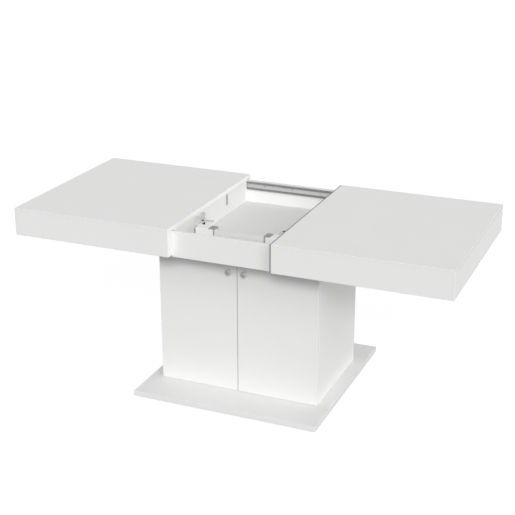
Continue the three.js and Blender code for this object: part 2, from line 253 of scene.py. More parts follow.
def round_edges(
    piece: bpy.types.Object, radius: float, segments: int, share: Callable[[Vector], float] | None = None
) -> None:
    """Rounds a block's edges.

    Args:
        piece: The mesh object.
        radius: The rounding, in metres.
        segments: How many facets the rounding has.
        share: For the middle of an edge, how much of the radius that edge gets.
    """
    mesh = piece.data
    weights = mesh.attributes.new("bevel_weight_edge", "FLOAT", "EDGE")
    for edge in mesh.edges:
        start, end = (mesh.vertices[index].co for index in edge.vertices)
        weights.data[edge.index].value = share((start + end) / 2) if share else 1.0
    rounding = piece.modifiers.new("rounding", "BEVEL")
    rounding.width = radius
    rounding.segments = segments
    rounding.limit_method = "WEIGHT"
    select_only(piece)
    bpy.ops.object.modifier_apply(modifier=rounding.name)
    piece.data.attributes.remove(piece.data.attributes["bevel_weight_edge"])


def rounded_block(
    name: str, low: Sequence[float], high: Sequence[float], radius: float, segments: int = 2
) -> bpy.types.Object:
    """Adds a block between two corners, with rounded edges.

    Args:
        name: The piece's name.
        low: The lowest corner, in metres.
        high: The highest corner, in metres.
        radius: The rounding, in metres.
        segments: How many facets the rounding has.

    Returns:
        The block.
    """
    piece = block(name, low, high)
    round_edges(piece, radius, segments)
    smooth(piece)
    return piece


def turned(name: str, profile: Sequence[tuple[float, float]], sides: int = 40) -> bpy.types.Object:
    """Turns a round piece about Z, its foot at the origin.

    Args:
        name: The piece's name.
        profile: Radius and height of each step from the foot up, in metres.
        sides: How many sides the round has.

    Returns:
        The piece.
    """
    clear_selection()
    (foot, start), (first, height) = profile[:2]
    bpy.ops.mesh.primitive_cylinder_add(
        vertices=sides, radius=foot, depth=height - start, location=(0, 0, (start + height) / 2)
    )
    piece = bpy.context.object
    piece.name = name
    settle(piece)
    top = max(vertex.co.z for vertex in piece.data.vertices)
    pick_faces(piece, lambda face: face.normal.z > 0.9 and abs(face.center.z - top) < TOUCH)
    with editing(piece):
        bpy.ops.transform.resize(value=(first / foot, first / foot, 1), center_override=(0, 0, height))
        radius = first
        for next_radius, next_height in profile[2:]:
            rise = next_height - height
            bpy.ops.mesh.extrude_region_move(TRANSFORM_OT_translate={"value": (0, 0, rise)})
            share = next_radius / radius
            bpy.ops.transform.resize(value=(share, share, 1), center_override=(0, 0, next_height))
            radius, height = next_radius, next_height
    smooth(piece)
    return piece


def stand(piece: bpy.types.Object, foot: Sequence[float], normal: Sequence[float]) -> None:
    """Stands a piece that was made at the origin, along +Z, on a face.

    Args:
        piece: The piece.
        foot: The point on the face, in metres.
        normal: The face's normal.
    """
    turn = Vector((0, 0, 1)).rotation_difference(Vector(normal)).to_matrix().to_4x4()
    piece.matrix_world = Matrix.Translation(Vector(foot)) @ turn
    settle(piece)


def copy_of(piece: bpy.types.Object, name: str) -> bpy.types.Object:
    """Copies a piece with a mesh of its own.

    Args:
        piece: The piece.
        name: The copy's name.

    Returns:
        The copy, riding on nothing.
    """
    twin = piece.copy()
    twin.data = piece.data.copy()
    twin.name = name
    twin.parent = None
    twin.matrix_world = Matrix.Identity(4)
    bpy.context.scene.collection.objects.link(twin)
    return twin


def joined(name: str, pieces: Sequence[bpy.types.Object]) -> bpy.types.Object:
    """Joins pieces of one body into one object.

    Args:
        name: The joined object's name.
        pieces: The pieces.

    Returns:
        The joined object.
    """
    select_only(pieces[0])
    for piece in pieces[1:]:
        piece.select_set(True)
    if len(pieces) > 1:
        bpy.ops.object.join()
    pieces[0].name = name
    return pieces[0]


def cut(piece: bpy.types.Object, tool: bpy.types.Object) -> None:
    """Cuts one piece with another and removes the tool.

    Args:
        piece: The piece to cut.
        tool: The piece that shows what goes.
    """
    modifier = piece.modifiers.new("cut", "BOOLEAN")
    modifier.operation = "DIFFERENCE"
    modifier.solver = "EXACT"
    modifier.object = tool
    select_only(piece)
    bpy.ops.object.modifier_apply(modifier=modifier.name)
    bpy.data.objects.remove(tool, do_unlink=True)


# ---------- shader effects ----------
class Graph:
    """Adds nodes to a node tree and joins them."""

    def __init__(self, tree: bpy.types.NodeTree) -> None:
        """Keeps the tree.

        Args:
            tree: The node tree to build in.
        """
        self.tree = tree

    def feed(self, node: bpy.types.Node, sockets: Sockets) -> None:
        """Sets a node's inputs.

        Args:
            node: The node.
            sockets: An input's name or number to its value, or to the output that feeds it.
        """
        for key, value in sockets.items():
            if isinstance(value, bpy.types.NodeSocket):
                self.tree.links.new(value, node.inputs[key])
            else:
                node.inputs[key].default_value = value

    def add(self, kind: str, sockets: Sockets | None = None, **settings: object) -> bpy.types.Node:
        """Adds a node.

        Args:
            kind: The node's type.
            sockets: An input's name or number to its value, or to the output that feeds it.
            settings: The node's own settings.

        Returns:
            The node.
        """
        node = self.tree.nodes.new(kind)
        for key, value in settings.items():
            setattr(node, key, value)
        self.feed(node, sockets or {})
        return node

    def maths(self, operation: str, first: object, second: object) -> bpy.types.NodeSocket:
        """Adds a Math node and gives its result."""
        return self.add("ShaderNodeMath", {0: first, 1: second}, operation=operation).outputs[0]

    def noise(
        self, place: object, scale: object, detail: float, roughness: float = 0.5
    ) -> bpy.types.NodeSocket:
        """Adds a noise texture at a place and gives its value."""
        sockets = {"Vector": place, "Scale": scale, "Detail": detail, "Roughness": roughness}
        return self.add("ShaderNodeTexNoise", sockets).outputs[0]

    def remapped(self, value: object, given: Range, wanted: Range = (0.0, 1.0)) -> bpy.types.NodeSocket:
        """Stretches a value from one range to another, and stops at its ends."""
        sockets = {0: value, 1: given[0], 2: given[1], 3: wanted[0], 4: wanted[1]}
        return self.add("ShaderNodeMapRange", sockets).outputs[0]

    def mixed(self, share: object, first: object, second: object) -> bpy.types.NodeSocket:
        """Mixes two colours, by the second one's share."""
        return self.add("ShaderNodeMix", {0: share, 6: first, 7: second}, data_type="RGBA").outputs[2]

    def bumped(self, height: object, strength: float, distance: float) -> bpy.types.NodeSocket:
        """Adds a Bump node and gives its normal."""
        sockets = {"Height": height, "Strength": strength, "Distance": distance}
        return self.add("ShaderNodeBump", sockets).outputs[0]


def effect(
    name: str, inputs: dict[str, tuple[str, object]], outputs: Sequence[str]
) -> tuple[Graph, bpy.types.Node, bpy.types.Node]:
    """Starts a shader node group.

    Args:
        name: The group's name.
        inputs: An input's name to its socket type and default value.
        outputs: The names of its value outputs.

    Returns:
        The group's graph, its input node and its output node.
    """
    tree = bpy.data.node_groups.new(name, "ShaderNodeTree")
    for label, (kind, value) in inputs.items():
        socket = tree.interface.new_socket(name=label, in_out="INPUT", socket_type=kind)
        if value is not None:
            socket.default_value = value
    for label in outputs:
        tree.interface.new_socket(name=label, in_out="OUTPUT", socket_type="NodeSocketFloat")
    graph = Graph(tree)
    return graph, graph.add("NodeGroupInput"), graph.add("NodeGroupOutput")


def pearl_effect() -> bpy.types.NodeTree:
    """Builds the fine pearl texture of laminate or moulded plastic, with slow clouds of gloss.

    Returns:
        The group, with outputs Height, Clouds and Gloss.
    """
    inputs = {
        "Vector": ("NodeSocketVector", None),
        "Grain Size": ("NodeSocketFloat", 1.2 * MM),
        "Cloud Size": ("NodeSocketFloat", 0.25),
    }
    graph, given, out = effect("Pearl Texture", inputs, ("Height", "Clouds", "Gloss"))
    place = given.outputs["Vector"]
    grain_scale = graph.maths("DIVIDE", 1.0, given.outputs["Grain Size"])
    cloud_scale = graph.maths("DIVIDE", 1.0, given.outputs["Cloud Size"])
    grain = graph.noise(place, grain_scale, detail=2.5, roughness=0.55)
    clouds = graph.remapped(graph.noise(place, cloud_scale, detail=4.0, roughness=0.6), (0.35, 0.65))
    gloss = graph.maths("MULTIPLY", grain, clouds)
    graph.feed(out, {"Height": grain, "Clouds": clouds, "Gloss": gloss})
    return graph.tree


def drawn_effect() -> bpy.types.NodeTree:
    """Builds the long fine lines of rolled or drawn metal, with plating spangle between them.

    Returns:
        The group, with outputs Height, Lines and Spangle.
    """
    inputs = {
        "Vector": ("NodeSocketVector", None),
        "Stretch": ("NodeSocketVector", (1.0, 1.0, 1.0)),
        "Line Width": ("NodeSocketFloat", 0.3 * MM),
    }
    graph, given, out = effect("Drawn Metal", inputs, ("Height", "Lines", "Spangle"))
    place = given.outputs["Vector"]
    scale = graph.maths("DIVIDE", 1.0, given.outputs["Line Width"])
    stretch = {0: place, 1: given.outputs["Stretch"]}
    stretched = graph.add("ShaderNodeVectorMath", stretch, operation="MULTIPLY")
    lines = graph.noise(stretched.outputs[0], scale, detail=2.0)
    crystals = graph.add("ShaderNodeTexVoronoi", {"Vector": place, "Scale": 260.0}).outputs["Distance"]
    spangle = graph.maths("MULTIPLY", crystals, graph.noise(place, 60.0, detail=3.0))
    graph.feed(out, {"Height": lines, "Lines": lines, "Spangle": spangle})
    return graph.tree


def dust_effect() -> bpy.types.NodeTree:
    """Builds a mask of the dust that settles on upward faces.

    Returns:
        The group, with output Mask.
    """
    inputs = {"Vector": ("NodeSocketVector", None), "Amount": ("NodeSocketFloat", 0.5)}
    graph, given, out = effect("Settled Dust", inputs, ("Mask",))
    facing = graph.add("ShaderNodeSeparateXYZ", {0: graph.add("ShaderNodeNewGeometry").outputs["Normal"]})
    upward = graph.remapped(facing.outputs["Z"], (0.5, 1.0))
    patches = graph.remapped(graph.noise(given.outputs["Vector"], 42.0, detail=6.0), (0.42, 0.72))
    lying = graph.maths("MULTIPLY", upward, patches)
    graph.feed(out, {"Mask": graph.maths("MULTIPLY", lying, given.outputs["Amount"])})
    return graph.tree


@dataclass
class Effects:
    """The shared shader effects, each built once."""

    pearl: bpy.types.NodeTree = field(default_factory=pearl_effect)
    drawn: bpy.types.NodeTree = field(default_factory=drawn_effect)
    dust: bpy.types.NodeTree = field(default_factory=dust_effect)


# ---------- finishes ----------
def tinted(colour: Corner, share: float = 1.0) -> tuple[float, float, float, float]:
    """Darkens or lightens a colour.

    Args:
        colour: The linear colour.
        share: What to multiply it by.

    Returns:
        The colour with an alpha of 1.
    """
    red, green, blue = (min(1.0, channel * share) for channel in colour)
    return red, green, blue, 1.0


def blank_material(name: str) -> tuple[bpy.types.Material, Graph, bpy.types.Node, bpy.types.NodeSocket]:
    """Starts a material with a Principled shader.

    Args:
        name: The material's name.

    Returns:
        The material, its graph, its shader node, and the object coordinates.
    """
    material = bpy.data.materials.new(name)
    material.use_nodes = True
    material.node_tree.nodes.clear()
    graph = Graph(material.node_tree)
    shader = graph.add("ShaderNodeBsdfPrincipled")
    graph.add("ShaderNodeOutputMaterial", {"Surface": shader.outputs[0]})
    place = graph.add("ShaderNodeTexCoord").outputs["Object"]
    return material, graph, shader, place


@dataclass(frozen=True)
class Moulded:
    """Laminate, plastic or rubber: a pearl texture over an even colour.

    Attributes:
        name: The material's name.
        colour: Its linear colour.
        roughness: Its lowest and highest roughness.
        grain: The size of its texture, in metres.
        relief: How deep the texture looks, in metres.
        variation: How much darker its clouds are, as a share.
        dust: How much dust lies on it.
        specular: The strength of its gloss.
    """

    name: str
    colour: Corner
    roughness: Range = (0.5, 0.62)
    grain: float = 1.2 * MM
    relief: float = 0.03 * MM
    variation: float = 0.012
    dust: float = 0.02
    specular: float = 0.12

    def build(self, effects: Effects) -> bpy.types.Material:
        """Makes the material.

        Args:
            effects: The shared effects.

        Returns:
            The material.
        """
        material, graph, shader, place = blank_material(self.name)
        pearl = graph.add("ShaderNodeGroup", node_tree=effects.pearl)
        graph.feed(pearl, {"Vector": place, "Grain Size": self.grain})
        dust = graph.add("ShaderNodeGroup", node_tree=effects.dust)
        graph.feed(dust, {"Vector": place, "Amount": self.dust})
        cloudy = tinted(self.colour, 1.0 - self.variation)
        base = graph.mixed(pearl.outputs["Clouds"], tinted(self.colour), cloudy)
        graph.feed(shader, {
            "Base Color": graph.mixed(dust.outputs["Mask"], base, tinted(DUST)),
            "Roughness": graph.remapped(pearl.outputs["Gloss"], (0.0, 0.7), self.roughness),
            "Normal": graph.bumped(pearl.outputs["Height"], 0.5, self.relief),
            "Specular IOR Level": self.specular,
        })
        return material


@dataclass(frozen=True)
class Plated:
    """Plated or polished metal with drawn lines.

    Attributes:
        name: The material's name.
        colour: Its linear colour.
        run: The direction of its lines.
        roughness: Its lowest and highest roughness.
        relief: How deep the lines look, in metres.
        variation: How much darker its spangle is, as a share.
        metallic: 1 for bare metal; less makes a finish read lighter in shade, as the copies of the zinc
            lightened as painted light have.
    """

    name: str
    colour: Corner
    run: Run
    roughness: Range = (0.28, 0.45)
    relief: float = 0.02 * MM
    variation: float = 0.35
    metallic: float = 1.0

    def build(self, effects: Effects) -> bpy.types.Material:
        """Makes the material.

        Args:
            effects: The shared effects.

        Returns:
            The material.
        """
        material, graph, shader, place = blank_material(self.name)
        drawn = graph.add("ShaderNodeGroup", node_tree=effects.drawn)
        graph.feed(drawn, {"Vector": place, "Stretch": self.run.value})
        spangled = tinted(self.colour, 1.0 - self.variation)
        graph.feed(shader, {
            "Base Color": graph.mixed(drawn.outputs["Spangle"], tinted(self.colour), spangled),
            "Roughness": graph.remapped(drawn.outputs["Lines"], (0.3, 0.7), self.roughness),
            "Normal": graph.bumped(drawn.outputs["Height"], 0.4, self.relief),
            "Metallic": self.metallic,
        })
        return material


class Finishes:
    """Every material of the table, by the part of the table that it is for."""

    def __init__(self) -> None:
        """Builds the shared effects and the materials."""
        effects = Effects()

        def moulded(name: str, colour: Corner, **look: Range | float) -> bpy.types.Material:
            """Makes a moulded or laminated finish."""
            return Moulded(name, colour, **look).build(effects)

        def plated(name: str, colour: Corner, run: Run, **look: Range | float) -> bpy.types.Material:
            """Makes a metal finish."""
            return Plated(name, colour, run, **look).build(effects)

        off_white = (0.79, 0.79, 0.785)
        self.face = moulded("white_laminate", (0.80, 0.80, 0.795))
        self.band = moulded("white_edge_band", off_white, roughness=(0.3, 0.42), grain=0.7 * MM, dust=0.01)
        self.inside = moulded("white_inner_laminate", off_white, roughness=(0.42, 0.55), grain=1.0 * MM)
        # painted shade: a darker copy of the white laminate, which dims the box's well where the shadowless
        # fills light it too brightly
        self.box = moulded("white_box_laminate", (0.70, 0.70, 0.695), grain=1.0 * MM)
        self.plastic = moulded(
            "white_moulding", (0.82, 0.82, 0.81), roughness=(0.3, 0.45), grain=0.5 * MM, specular=0.5
        )
        self.clear_plastic = moulded(
            "soft_clear_dot", (0.6, 0.6, 0.58), roughness=(0.2, 0.3), grain=0.4 * MM, dust=0.0
        )
        self.dark = moulded(
            "dark_moulding", (0.03, 0.03, 0.032), roughness=(0.4, 0.55), grain=0.4 * MM, variation=0.25
        )
        # grey for the right half-top's edge seal; also painted shade on the left door's meeting edge, in the
        # seam
        self.seal = moulded(
            "grey_seal", (0.34, 0.34, 0.34),
            roughness=(0.6, 0.75), grain=0.5 * MM, variation=0.12, specular=0.2,
        )
        self.zinc = {run: plated(f"zinc_plate_{run.name.lower()}", (0.55, 0.555, 0.56), run) for run in Run}
        # painted light: a paler, less metallic copy of the zinc, for the slide channels and the catches,
        # which lie in shade
        self.pale_zinc = plated(
            "pale_passivated_zinc", (0.66, 0.66, 0.65), Run.ALONG_Z,
            roughness=(0.45, 0.6), variation=0.12, metallic=0.3,
        )
        # painted light: a less metallic copy of the zinc, which reads lighter in shade, for the brackets'
        # webs, the straps and the strike plates
        self.mid_zinc = plated(
            "passivated_zinc", (0.46, 0.46, 0.455), Run.ALONG_Z,
            roughness=(0.4, 0.55), variation=0.15, metallic=0.5,
        )
        # painted shade: a darker copy of the zinc for the slide channels' lips
        self.dark_zinc = plated(
            "dark_passivated_zinc", (0.36, 0.365, 0.37), Run.ALONG_X, roughness=(0.35, 0.5)
        )
        self.satin = plated(
            "satin_nickel", (0.58, 0.58, 0.575), Run.ALONG_Y,
            roughness=(0.35, 0.45), relief=0.004 * MM, variation=0.06, metallic=0.6,
        )
        self.screw = plated("screw_zinc", (0.5, 0.5, 0.5), Run.ALONG_Z, roughness=(0.25, 0.4), variation=0.3)


def dress(piece: bpy.types.Object, *materials: bpy.types.Material) -> None:
    """Gives a new piece its materials, in slot order.

    Args:
        piece: The mesh object.
        materials: Its materials.
    """
    piece.data.materials.clear()
    for material in materials:
        piece.data.materials.append(material)


def dress_node(node: str, material: bpy.types.Material) -> None:
    """Gives a carried-over CAD node a material.

    Args:
        node: The CAD node's name.
        material: The material.
    """
    for slot in frame["nodes"][node].material_slots:
        slot.material = material


def two_tone(
    piece: bpy.types.Object, finish: bpy.types.Material, wanted: Callable[[bpy.types.MeshPolygon], bool]
) -> None:
    """Gives the faces that pass a test a second finish.

    Args:
        piece: The mesh object, which has one finish.
        finish: The second finish.
        wanted: The test.
    """
    piece.data.materials.append(finish)
    for face in piece.data.polygons:
        face.material_index = int(wanted(face))


def stand_for(piece: bpy.types.Object, node: str) -> None:
    """Lets a new piece take a CAD node's place and body.

    Args:
        piece: The new piece.
        node: The CAD node that it replaces.
    """
    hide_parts(node)
    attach(piece, body_of(node))
    slot_of(node)
    LOG.info("%s in place of %s", piece.name, node)


def add_trim(piece: bpy.types.Object, finish: bpy.types.Material, body: str) -> None:
    """Lets a new piece that has no CAD node ride on a body.

    Args:
        piece: The new piece.
        finish: Its material.
        body: The body that carries it.
    """
    dress(piece, finish)
    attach(piece, body)
    LOG.info("%s on %s", piece.name, body)


# ---------- boards ----------
@dataclass
class Board:
    """A laminated board with rounded edges and an edge band on its narrow faces.

    Attributes:
        node: The CAD node that it stands for.
        face: The laminate on its broad faces.
        band: The band on its narrow faces.
        radius: The rounding of its edges, in metres.
        sheet: The thickness of the laminate that shows beside the band, in metres.
        recess: How far the band lies below the rounding, in metres.
        joints: The directions of the faces that are glued to other boards.
        sharpness: The share of the rounding that is left at a glued face.
        grow: How far the low and the high corner reach out to close a glued joint, in metres.
    """

    node: str
    face: bpy.types.Material
    band: bpy.types.Material
    radius: float = 0.9 * MM
    sheet: float = 0.5 * MM
    recess: float = 0.05 * MM
    joints: Sequence[Corner] = ()
    sharpness: float = 0.12
    grow: tuple[Corner, Corner] = ((0, 0, 0), (0, 0, 0))

    def shape(self) -> bpy.types.Object:
        """Builds the board's mesh at its CAD place.

        Returns:
            The board, with the band's faces in the second material slot.
        """
        low, high = (corner + Vector(more) for corner, more in zip(extent(self.node), self.grow))
        size, middle = high - low, (low + high) / 2
        thin = min(range(3), key=lambda axis: size[axis])
        nearly_half = 0.49
        band_area = 0.5 * size[thin] ** 2  # more than a rounding's facet, less than a narrow face

        def share(point: Vector) -> float:
            """Gives a glued face's edges less rounding."""
            away = point - middle
            ways = map(Vector, self.joints)
            glued = any(away.dot(way) > nearly_half * abs(size.dot(way)) for way in ways)
            return self.sharpness if glued else 1.0

        def narrow(face: bpy.types.MeshPolygon) -> bool:
            """Tells whether a face is one of the board's flat narrow faces."""
            square = max(map(abs, face.normal)) > 1 - SKEW and abs(face.normal[thin]) < SKEW
            return square and face.area > band_area

        piece = block(f"{self.node}_board", low, high)
        round_edges(piece, self.radius, 3, share)
        dress(piece, self.face, self.band)
        pick_faces(piece, narrow)
        with editing(piece):
            bpy.ops.mesh.inset(thickness=self.sheet, depth=-self.recess, use_individual=True)
        for face in piece.data.polygons:
            face.material_index = int(face.select)
        smooth(piece)
        return piece

    def build(self) -> None:
        """Builds the board and puts it in its node's place."""
        stand_for(self.shape(), self.node)


@dataclass
class Section:
    """A steel section, rail or pressing: the CAD shape with its hard edges rounded.

    Attributes:
        node: The CAD node that it stands for.
        finish: Its material.
        radius: The rounding of its edges, in metres.
        segments: How many facets the rounding has.
        flat: Faces that meet at less than this many degrees are one flat face.
        hard: Edges that turn by more than this many degrees are rounded.
    """

    node: str
    finish: bpy.types.Material
    radius: float = 0.5 * MM
    segments: int = 2
    flat: float = 1.0
    hard: float = 40.0

    def build(self) -> bpy.types.Object:
        """Copies the CAD shape, rounds it and puts it in its node's place.

        Returns:
            The piece.
        """
        piece = copy_of(frame["nodes"][self.node], f"{self.node}_rounded")
        select_only(piece)
        if piece.data.has_custom_normals:
            bpy.ops.mesh.customdata_custom_splitnormals_clear()
        with editing(piece):
            bpy.ops.mesh.select_all(action="SELECT")
            bpy.ops.mesh.remove_doubles(threshold=TOUCH)
            bpy.ops.mesh.dissolve_limited(angle_limit=math.radians(self.flat))
        rounding = piece.modifiers.new("rounding", "BEVEL")
        rounding.width = self.radius
        rounding.segments = self.segments
        rounding.limit_method = "ANGLE"
        rounding.angle_limit = math.radians(self.hard)
        select_only(piece)
        bpy.ops.object.modifier_apply(modifier=rounding.name)
        smooth(piece)
        dress(piece, self.finish)
        stand_for(piece, self.node)
        return piece


# ---------- fastenings ----------
@dataclass
class Screws:
    """Cross-head screws: one is modelled, and the rest are copies.

    Attributes:
        finish: Their material.
        head: The head's radius, in metres.
        height: How far the head stands proud, in metres.
    """

    finish: bpy.types.Material
    head: float
    height: float

    def pattern(self) -> bpy.types.Object:
        """Models one screw head with its cross recess, at the origin and along +Z.

        Returns:
            The screw head.
        """
        steps = ((1.0, 0.0), (1.0, 0.35), (0.82, 0.8), (0.4, 1.0))  # as shares of the radius and the height
        screw = turned("screw_pattern", [(self.head * out, self.height * up) for out, up in steps], sides=20)
        reach, width, depth = 0.55 * self.head, 0.11 * self.head, 0.7 * self.height
        for x, y in ((reach, width), (width, reach)):
            cut(screw, block("recess", (-x, -y, self.height - depth), (x, y, 2 * self.height)))
        return screw

    def place(self, name: str, body: str, places: Sequence[tuple[Corner, Corner]]) -> None:
        """Puts a screw at each place and joins them.

        Args:
            name: The joined piece's name.
            body: The body that carries them.
            places: For each screw, the point on the face and the face's normal.
        """
        pattern = self.pattern()
        copies = []
        for number, (point, normal) in enumerate(places):
            copy = copy_of(pattern, f"{name}_{number}")
            stand(copy, point, normal)
            copies.append(copy)
        bpy.data.objects.remove(pattern, do_unlink=True)
        add_trim(joined(name, copies), self.finish, body)


# ---------- sub-assemblies ----------
@dataclass
class Base:
    """The base plate and its glides."""

    finishes: Finishes

    def build(self) -> None:
        """Builds the plate and dresses the glides."""
        Board("base_plate", self.finishes.face, self.finishes.band, radius=1.2 * MM).build()
        for side in Side:
            for place in ("front", "back"):
                dress_node(f"{place}_{side.label}_glide", self.finishes.dark)


# A knob's profile from its foot ring to its crowned face, as shares of its radius and of its reach.
KNOB_STEPS = (
    (0.66, 0.0), (0.66, 0.06), (0.6, 0.1), (0.46, 0.15), (0.41, 0.24), (0.4, 0.4), (0.46, 0.5), (0.62, 0.58),
    (0.84, 0.66), (0.95, 0.72), (1.0, 0.78), (1.0, 0.85), (0.97, 0.9), (0.9, 0.945), (0.78, 0.972),
    (0.6, 0.988), (0.35, 0.997), (0.12, 1.0),
)


@dataclass
class Cabinet:
    """The cabinet, its doors, knobs, hinges, shelf supports and latch.

    Attributes:
        finishes: The table's materials.
        door_reach: How far a door's band reaches below the CAD door, in metres.
        bore_radius: The radius of the bore round a hinge cup, in metres.
        bore_room: How much deeper the bore is than the cup, in metres.
        arm_screw_depth: How far the foot under an arm's screws lies behind its edge, in metres.
        bumper_radius: A door bumper's radius, in metres.
        bumper_height: A door bumper's height, in metres.
        pin_radius: A shelf pin's radius, in metres.
        pin_collar: The radius of the pin's collar, in metres.
        pin_reach: How far a shelf pin stands out of the side, in metres.
        pin_inset: A shelf pin's distance from the shelf's edge, in metres.
        cap_radius: A fitting cap's radius, in metres.
        cap_height: A fitting cap's height, in metres.
    """

    finishes: Finishes
    door_reach: float = 1.5 * MM
    bore_radius: float = 17.8 * MM
    bore_room: float = 0.3 * MM
    arm_screw_depth: float = 6.7 * MM
    bumper_radius: float = 4 * MM
    bumper_height: float = 1.4 * MM
    pin_radius: float = 2.5 * MM
    pin_collar: float = 4 * MM
    pin_reach: float = 9 * MM
    pin_inset: float = 40 * MM
    cap_radius: float = 8.5 * MM
    cap_height: float = 1.25 * MM

    def build(self) -> None:
        """Builds every piece of the cabinet."""
        face, band, inside = self.finishes.face, self.finishes.band, self.finishes.inside
        for node in ("cabinet_left_side", "cabinet_right_side", "cabinet_back", "cabinet_top"):
            Board(node, face, band).build()
        for node in ("cabinet_bottom", "cabinet_shelf"):
            Board(node, inside, band).build()
        for side in Side:
            self.door(side)
            self.knob(side)
            self.hinges(side)
            self.bumpers(side)
        self.shelf_pins()
        self.fitting_caps()
        self.latch()

    def door(self, side: Side) -> None:
        """Builds a door bored for its hinge cups. The left one's meeting edge gets the grey seal finish, as
        painted shade in the seam between the doors.

        Args:
            side: The side of the table.
        """
        node = f"{side.label}_door"
        reach = ((0, 0, -self.door_reach), (0, 0, 0))
        piece = Board(node, self.finishes.face, self.finishes.band, radius=1.1 * MM, grow=reach).shape()
        back = extent(node)[1].y
        for place in ("lower", "upper"):
            low, high = extent(f"{side.label}_{place}_hinge_cup")
            centre = (low + high) / 2
            depth = back - low.y + self.bore_room
            bore = turned("bore", [(self.bore_radius, 0.0), (self.bore_radius, 2 * depth)], sides=48)
            stand(bore, (centre.x, back - depth, centre.z), (0, 1, 0))
            cut(piece, bore)
        smooth(piece)
        if side is Side.LEFT:
            # painted shade: the left door's edge that shows in the seam gets the grey finish, which darkens
            # the seam
            meeting, facing = inner_x(node, side) - 0.5 * MM, 0.9
            piece.data.materials.append(self.finishes.seal)
            for polygon in piece.data.polygons:
                if polygon.normal.x > facing and polygon.center.x > meeting:
                    polygon.material_index = 2
        stand_for(piece, node)

    def knob(self, side: Side) -> None:
        """Turns a round knob with a foot ring and a crowned face.

        Args:
            side: The side of the table.
        """
        node = f"{side.label}_knob"
        low, high = extent(node)
        centre = (low + high) / 2
        reach, radius = high.y - low.y, (high.x - low.x) / 2
        piece = turned(f"{node}_turned", [(radius * out, reach * up) for out, up in KNOB_STEPS], sides=56)
        stand(piece, (centre.x, high.y, centre.z), (0, -1, 0))
        dress(piece, self.finishes.satin)
        stand_for(piece, node)

    def hinges(self, side: Side) -> None:
        """Rounds the hinge arms, dresses the cups and adds the screws of the arms.

        Args:
            side: The side of the table.
        """
        places = []
        for place in ("lower", "upper"):
            arm = f"{side.label}_{place}_hinge_arm"
            dress_node(f"{side.label}_{place}_hinge_cup", self.finishes.zinc[Run.ALONG_Z])
            Section(arm, self.finishes.zinc[Run.ALONG_Y], radius=1.0 * MM, segments=3).build()
            low, high = extent(arm)
            foot = inner_x(arm, side) + side.value * self.arm_screw_depth
            for share in (0.5, 0.82):
                point = (foot, part_way(low.y, high.y, share), part_way(low.z, high.z, 0.5))
                places.append((point, (-side.value, 0, 0)))
        screws = Screws(self.finishes.screw, head=3.0 * MM, height=1.0 * MM)
        screws.place(f"{side.label}_hinge_screws", "pedestal", places)

    def bumpers(self, side: Side) -> None:
        """Adds two soft dots on a door's back, near the middle of the table.

        Args:
            side: The side of the table.
        """
        door = f"{side.label}_door"
        low, high = extent(door)
        from_edge, from_end = 12 * MM, 8 * MM
        radius, height = self.bumper_radius, self.bumper_height
        shares = ((1.0, 0.0), (1.0, 1 / 2), (0.75, 6 / 7), (0.375, 1.0))
        steps = [(radius * out, height * up) for out, up in shares]
        dots = []
        for level in (low.z + from_end, high.z - from_end):
            dot = turned("bumper", steps, 24)
            stand(dot, (inner_x(door, side) + side.value * from_edge, high.y, level), (0, 1, 0))
            dots.append(dot)
        add_trim(joined(f"{door}_bumpers", dots), self.finishes.clear_plastic, door)

    def shelf_pins(self) -> None:
        """Adds the four pins that the shelf lies on."""
        low, high = extent("cabinet_shelf")
        level = low.z - self.pin_collar - 0.05 * MM
        steps = [
            (self.pin_collar, 0.0), (self.pin_collar, 1.2 * MM), (self.pin_radius, 1.3 * MM),
            (self.pin_radius, self.pin_reach - 0.6 * MM), (0.8 * self.pin_radius, self.pin_reach),
        ]
        pins = []
        for side in Side:
            wall = inner_x(f"cabinet_{side.label}_side", side)
            for depth in (low.y + self.pin_inset, high.y - self.pin_inset):
                pin = turned("pin", steps, 24)
                stand(pin, (wall, depth, level), (-side.value, 0, 0))
                pins.append(pin)
        add_trim(joined("shelf_pins", pins), self.finishes.zinc[Run.ALONG_X], "pedestal")

    def fitting_caps(self) -> None:
        """Adds the round caps over the fittings that hold the cabinet together."""
        front_inset, back_inset, end_inset = 102.5 * MM, 60 * MM, 30 * MM
        front = extent("cabinet_left_side")[0].y + front_inset
        back = extent("cabinet_back")[0].y - back_inset
        bottom = extent("cabinet_bottom")[1].z + end_inset
        top = extent("cabinet_top")[0].z - end_inset
        radius, height = self.cap_radius, self.cap_height
        shares = ((1.0, 0.0), (1.0, 0.56), (0.94, 0.88), (0.3, 1.0))
        steps = [(radius * out, height * up) for out, up in shares]
        caps = []
        for side in Side:
            wall = inner_x(f"cabinet_{side.label}_side", side)
            for depth in (front, back):
                for level in (bottom, top):
                    cap = turned("cap", steps, 32)
                    stand(cap, (wall, depth, level), (-side.value, 0, 0))
                    caps.append(cap)
        add_trim(joined("cabinet_fitting_caps", caps), self.finishes.plastic, "pedestal")

    def latch(self) -> None:
        """Adds the magnet latch under the cabinet's top and its plates on the doors."""
        ceiling = extent("cabinet_top")[0].z
        doors = extent("left_door")[1].y
        half_width, height, gap, depth = 26 * MM, 13 * MM, 3.2 * MM, 24 * MM
        body = rounded_block(
            "magnet_latch",
            (-half_width, doors + gap, ceiling - height), (half_width, doors + depth, ceiling), 1.0 * MM, 3,
        )
        add_trim(body, self.finishes.plastic, "pedestal")
        sheet, bottom, top = 1.2 * MM, ceiling - 12 * MM, ceiling - 2 * MM
        for side in Side:
            low, high = sorted((side.value * 6 * MM, side.value * 22 * MM))
            plate = rounded_block(
                f"{side.label}_latch_plate", (low, doors, bottom), (high, doors + sheet, top), 0.4 * MM
            )
            add_trim(plate, self.finishes.zinc[Run.ALONG_X], f"{side.label}_door")


